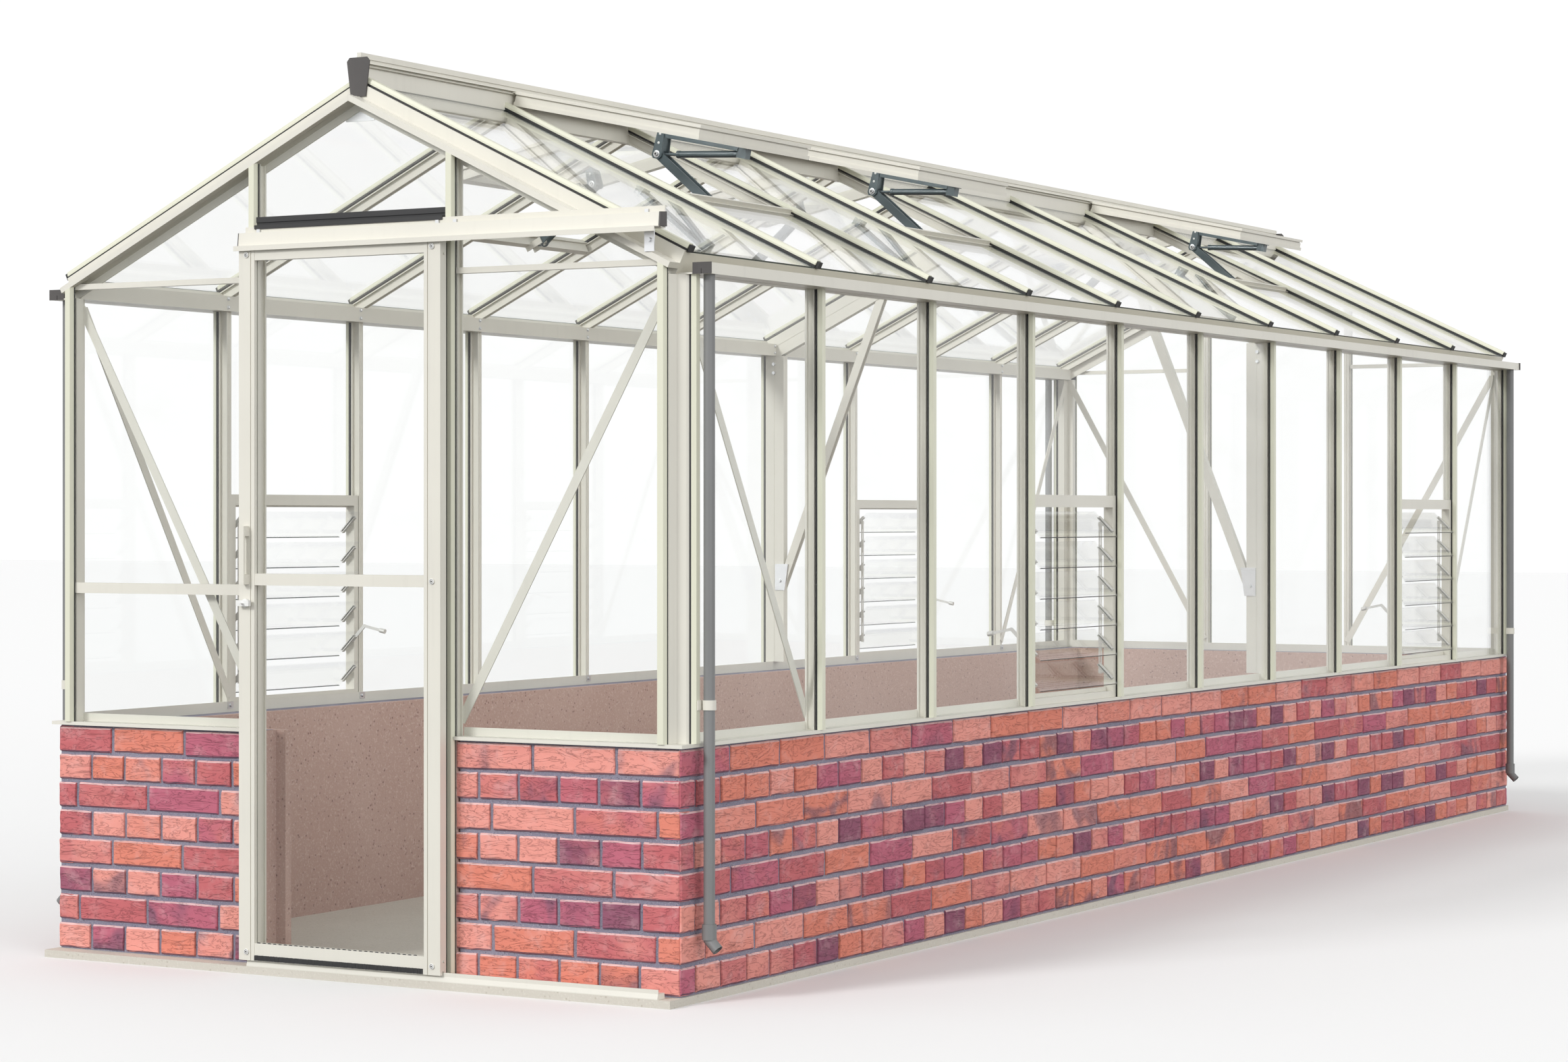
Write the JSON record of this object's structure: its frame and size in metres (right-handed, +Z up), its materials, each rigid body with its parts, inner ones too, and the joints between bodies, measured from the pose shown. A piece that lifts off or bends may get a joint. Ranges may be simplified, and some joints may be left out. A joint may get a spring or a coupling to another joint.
{
  "type": "greenhouse",
  "caption": "Aluminium greenhouse on a dwarf brick wall, with a pitched glass roof, roof vents on linked openers, louvre windows with operating levers and a sliding door",
  "frame": {"origin": "centre of the wall footprint, on the underside of the slab", "axes": "+Y runs along the ridge away from the door, +X to the right of someone facing the door, +Z up"},
  "size_m": [2.0982, 6.4387, 2.3615],
  "materials": {
    "ivory_frame": "satin powder coat in ivory",
    "sage_cap": "satin powder coat in pale sage",
    "clear_glass": "clear toughened float glass",
    "concrete": "cast concrete, lightly speckled",
    "brick": "creased facing bricks with grey-violet recessed mortar",
    "render": "dusty pink rendered blockwork",
    "black_seal": "matt black gasket",
    "dark_cap": "near-black moulded cap",
    "grey_pipe": "mid grey moulded pipe",
    "zinc_bolt": "bright zinc",
    "nylon": "natural nylon",
    "white_knob": "white moulded handle",
    "bare_aluminium": "mill finish",
    "slate_opener": "slate grey-green powder coat"
  },
  "bodies": {
    "house": {"foundation_slab": "concrete", "brick_wall": "brick", "inner_wall": "render", "wall_cill": "ivory_frame", "corner_posts": "ivory_frame", "wall_bars": "ivory_frame", "wall_bar_caps": "sage_cap", "rubber_seals": "black_seal", "wall_glass": "clear_glass", "gable_frames": "ivory_frame", "eave_beams": "ivory_frame", "gutters": "ivory_frame", "end_caps": "dark_cap", "downpipes": "grey_pipe", "pipe_clips": "ivory_frame", "ridge_beam": "ivory_frame", "roof_bars": "ivory_frame", "roof_bar_caps": "sage_cap", "roof_glass": "clear_glass", "portal_frame": "ivory_frame", "corner_braces": "ivory_frame", "louvre_frames": "ivory_frame", "vent_sills": "ivory_frame", "door_track": "ivory_frame", "door_threshold": "ivory_frame", "frame_fittings": "zinc_bolt"},
    "door": {"door_frame": "ivory_frame", "door_panes": "clear_glass", "door_handle": "ivory_frame"},
    "lock": {"door_lock": "zinc_bolt"},
    "roller_left": {"door_roller_left": "nylon"},
    "roller_right": {"door_roller_right": "nylon"},
    "vent_right_front": {"vent_right_front": "ivory_frame"},
    "arm_right_front": {"vent_arm_right_front": "slate_opener"},
    "vent_right_mid": {"vent_right_mid": "ivory_frame"},
    "arm_right_mid": {"vent_arm_right_mid": "slate_opener"},
    "vent_right_rear": {"vent_right_rear": "ivory_frame"},
    "arm_right_rear": {"vent_arm_right_rear": "slate_opener"},
    "vent_left_front": {"vent_left_front": "ivory_frame"},
    "arm_left_front": {"vent_arm_left_front": "slate_opener"},
    "vent_left_mid": {"vent_left_mid": "ivory_frame"},
    "arm_left_mid": {"vent_arm_left_mid": "slate_opener"},
    "vent_left_rear": {"vent_left_rear": "ivory_frame"},
    "arm_left_rear": {"vent_arm_left_rear": "slate_opener"},
    "blade_right_1": {"louvre_blade_right_1": "clear_glass"},
    "blade_right_2": {"louvre_blade_right_2": "clear_glass"},
    "blade_right_3": {"louvre_blade_right_3": "clear_glass"},
    "blade_right_4": {"louvre_blade_right_4": "clear_glass"},
    "blade_right_5": {"louvre_blade_right_5": "clear_glass", "louvre_lever_right": "white_knob"},
    "blade_right_6": {"louvre_blade_right_6": "clear_glass"},
    "rod_right": {"louvre_rod_right": "bare_aluminium"},
    "blade_left_1": {"louvre_blade_left_1": "clear_glass"},
    "blade_left_2": {"louvre_blade_left_2": "clear_glass"},
    "blade_left_3": {"louvre_blade_left_3": "clear_glass"},
    "blade_left_4": {"louvre_blade_left_4": "clear_glass"},
    "blade_left_5": {"louvre_blade_left_5": "clear_glass", "louvre_lever_left": "white_knob"},
    "blade_left_6": {"louvre_blade_left_6": "clear_glass"},
    "rod_left": {"louvre_rod_left": "bare_aluminium"}
  },
  "joints": [
    {"name": "door_slide", "type": "slide", "parent": "house", "child": "door", "axis": [1, 0, 0], "range_m": [0, 0.62]},
    {"name": "lock_turn", "type": "hinge", "parent": "door", "child": "lock", "pos_m": [-0.292, -3.2255, 0.955], "axis": [0, 1, 0], "range_deg": [0, 90]},
    {"name": "roller_left_spin", "type": "hinge", "parent": "door", "child": "roller_left", "pos_m": [-0.25, -3.20275, 1.8863], "axis": [0, 1, 0], "range_deg": [-1, 4450]},
    {"name": "roller_right_spin", "type": "hinge", "parent": "door", "child": "roller_right", "pos_m": [0.25, -3.20275, 1.8863], "axis": [0, 1, 0], "range_deg": [-1, 4450]},
    {"name": "vent_right_front_hinge", "type": "hinge", "parent": "house", "child": "vent_right_front", "pos_m": [0.017, -2.17805, 2.32996], "axis": [0, -1, 0], "range_deg": [-13.64, 3]},
    {"name": "arm_right_front_pivot", "type": "hinge", "parent": "vent_right_front", "child": "arm_right_front", "pos_m": [0.30872, -2.17805, 2.17288], "axis": [0, -1, 0], "range_deg": [-7.2, 31.6]},
    {"name": "vent_right_mid_hinge", "type": "hinge", "parent": "house", "child": "vent_right_mid", "pos_m": [0.017, -0.93345, 2.32996], "axis": [0, -1, 0], "range_deg": [-13.64, 3]},
    {"name": "arm_right_mid_pivot", "type": "hinge", "parent": "vent_right_mid", "child": "arm_right_mid", "pos_m": [0.30872, -0.93345, 2.17288], "axis": [0, -1, 0], "range_deg": [-7.2, 31.6]},
    {"name": "vent_right_rear_hinge", "type": "hinge", "parent": "house", "child": "vent_right_rear", "pos_m": [0.017, 1.55575, 2.32996], "axis": [0, -1, 0], "range_deg": [-13.64, 3]},
    {"name": "arm_right_rear_pivot", "type": "hinge", "parent": "vent_right_rear", "child": "arm_right_rear", "pos_m": [0.30872, 1.55575, 2.17288], "axis": [0, -1, 0], "range_deg": [-7.2, 31.6]},
    {"name": "vent_left_front_hinge", "type": "hinge", "parent": "house", "child": "vent_left_front", "pos_m": [-0.017, -1.55575, 2.32996], "axis": [0, 1, 0], "range_deg": [-13.64, 3]},
    {"name": "arm_left_front_pivot", "type": "hinge", "parent": "vent_left_front", "child": "arm_left_front", "pos_m": [-0.30872, -1.55575, 2.17288], "axis": [0, 1, 0], "range_deg": [-7.2, 31.6]},
    {"name": "vent_left_mid_hinge", "type": "hinge", "parent": "house", "child": "vent_left_mid", "pos_m": [-0.017, -0.31115, 2.32996], "axis": [0, 1, 0], "range_deg": [-13.64, 3]},
    {"name": "arm_left_mid_pivot", "type": "hinge", "parent": "vent_left_mid", "child": "arm_left_mid", "pos_m": [-0.30872, -0.31115, 2.17288], "axis": [0, 1, 0], "range_deg": [-7.2, 31.6]},
    {"name": "vent_left_rear_hinge", "type": "hinge", "parent": "house", "child": "vent_left_rear", "pos_m": [-0.017, 2.17805, 2.32996], "axis": [0, 1, 0], "range_deg": [-13.64, 3]},
    {"name": "arm_left_rear_pivot", "type": "hinge", "parent": "vent_left_rear", "child": "arm_left_rear", "pos_m": [-0.30872, 2.17805, 2.17288], "axis": [0, 1, 0], "range_deg": [-7.2, 31.6]},
    {"name": "blade_right_1_pivot", "type": "hinge", "parent": "house", "child": "blade_right_1", "pos_m": [0.96, 0, 1.1536], "axis": [0, -1, 0], "range_deg": [-37, 35]},
    {"name": "blade_right_2_pivot", "type": "hinge", "parent": "house", "child": "blade_right_2", "pos_m": [0.96, 0, 1.0644], "axis": [0, -1, 0], "range_deg": [-37, 35]},
    {"name": "blade_right_3_pivot", "type": "hinge", "parent": "house", "child": "blade_right_3", "pos_m": [0.96, 0, 0.9752], "axis": [0, -1, 0], "range_deg": [-37, 35]},
    {"name": "blade_right_4_pivot", "type": "hinge", "parent": "house", "child": "blade_right_4", "pos_m": [0.96, 0, 0.886], "axis": [0, -1, 0], "range_deg": [-37, 35]},
    {"name": "blade_right_5_pivot", "type": "hinge", "parent": "house", "child": "blade_right_5", "pos_m": [0.96, 0, 0.7968], "axis": [0, -1, 0], "range_deg": [-37, 35]},
    {"name": "blade_right_6_pivot", "type": "hinge", "parent": "house", "child": "blade_right_6", "pos_m": [0.96, 0, 0.7076], "axis": [0, -1, 0], "range_deg": [-37, 35]},
    {"name": "rod_right_pivot", "type": "hinge", "parent": "blade_right_5", "child": "rod_right", "pos_m": [0.938, 0, 0.7968], "axis": [0, -1, 0], "range_deg": [-35, 37]},
    {"name": "blade_left_1_pivot", "type": "hinge", "parent": "house", "child": "blade_left_1", "pos_m": [-0.96, 0, 1.1536], "axis": [0, 1, 0], "range_deg": [-37, 35]},
    {"name": "blade_left_2_pivot", "type": "hinge", "parent": "house", "child": "blade_left_2", "pos_m": [-0.96, 0, 1.0644], "axis": [0, 1, 0], "range_deg": [-37, 35]},
    {"name": "blade_left_3_pivot", "type": "hinge", "parent": "house", "child": "blade_left_3", "pos_m": [-0.96, 0, 0.9752], "axis": [0, 1, 0], "range_deg": [-37, 35]},
    {"name": "blade_left_4_pivot", "type": "hinge", "parent": "house", "child": "blade_left_4", "pos_m": [-0.96, 0, 0.886], "axis": [0, 1, 0], "range_deg": [-37, 35]},
    {"name": "blade_left_5_pivot", "type": "hinge", "parent": "house", "child": "blade_left_5", "pos_m": [-0.96, 0, 0.7968], "axis": [0, 1, 0], "range_deg": [-37, 35]},
    {"name": "blade_left_6_pivot", "type": "hinge", "parent": "house", "child": "blade_left_6", "pos_m": [-0.96, 0, 0.7076], "axis": [0, 1, 0], "range_deg": [-37, 35]},
    {"name": "rod_left_pivot", "type": "hinge", "parent": "blade_left_5", "child": "rod_left", "pos_m": [-0.938, 0, 0.7968], "axis": [0, 1, 0], "range_deg": [-35, 37]}
  ],
  "couplings": [
    {"joint": "roller_left_spin", "follows": "door_slide", "rad_per_m": 125},
    {"joint": "roller_right_spin", "follows": "door_slide", "rad_per_m": 125},
    {"joint": "arm_right_front_pivot", "follows": "vent_right_front_hinge", "ratio": -2.3},
    {"joint": "arm_right_mid_pivot", "follows": "vent_right_mid_hinge", "ratio": -2.3},
    {"joint": "arm_right_rear_pivot", "follows": "vent_right_rear_hinge", "ratio": -2.3},
    {"joint": "arm_left_front_pivot", "follows": "vent_left_front_hinge", "ratio": -2.3},
    {"joint": "arm_left_mid_pivot", "follows": "vent_left_mid_hinge", "ratio": -2.3},
    {"joint": "arm_left_rear_pivot", "follows": "vent_left_rear_hinge", "ratio": -2.3},
    {"joint": "blade_right_1_pivot", "follows": "blade_right_5_pivot", "ratio": 1},
    {"joint": "blade_right_2_pivot", "follows": "blade_right_5_pivot", "ratio": 1},
    {"joint": "blade_right_3_pivot", "follows": "blade_right_5_pivot", "ratio": 1},
    {"joint": "blade_right_4_pivot", "follows": "blade_right_5_pivot", "ratio": 1},
    {"joint": "blade_right_6_pivot", "follows": "blade_right_5_pivot", "ratio": 1},
    {"joint": "rod_right_pivot", "follows": "blade_right_5_pivot", "ratio": -1},
    {"joint": "blade_left_1_pivot", "follows": "blade_left_5_pivot", "ratio": 1},
    {"joint": "blade_left_2_pivot", "follows": "blade_left_5_pivot", "ratio": 1},
    {"joint": "blade_left_3_pivot", "follows": "blade_left_5_pivot", "ratio": 1},
    {"joint": "blade_left_4_pivot", "follows": "blade_left_5_pivot", "ratio": 1},
    {"joint": "blade_left_6_pivot", "follows": "blade_left_5_pivot", "ratio": 1},
    {"joint": "rod_left_pivot", "follows": "blade_left_5_pivot", "ratio": -1}
  ]
}
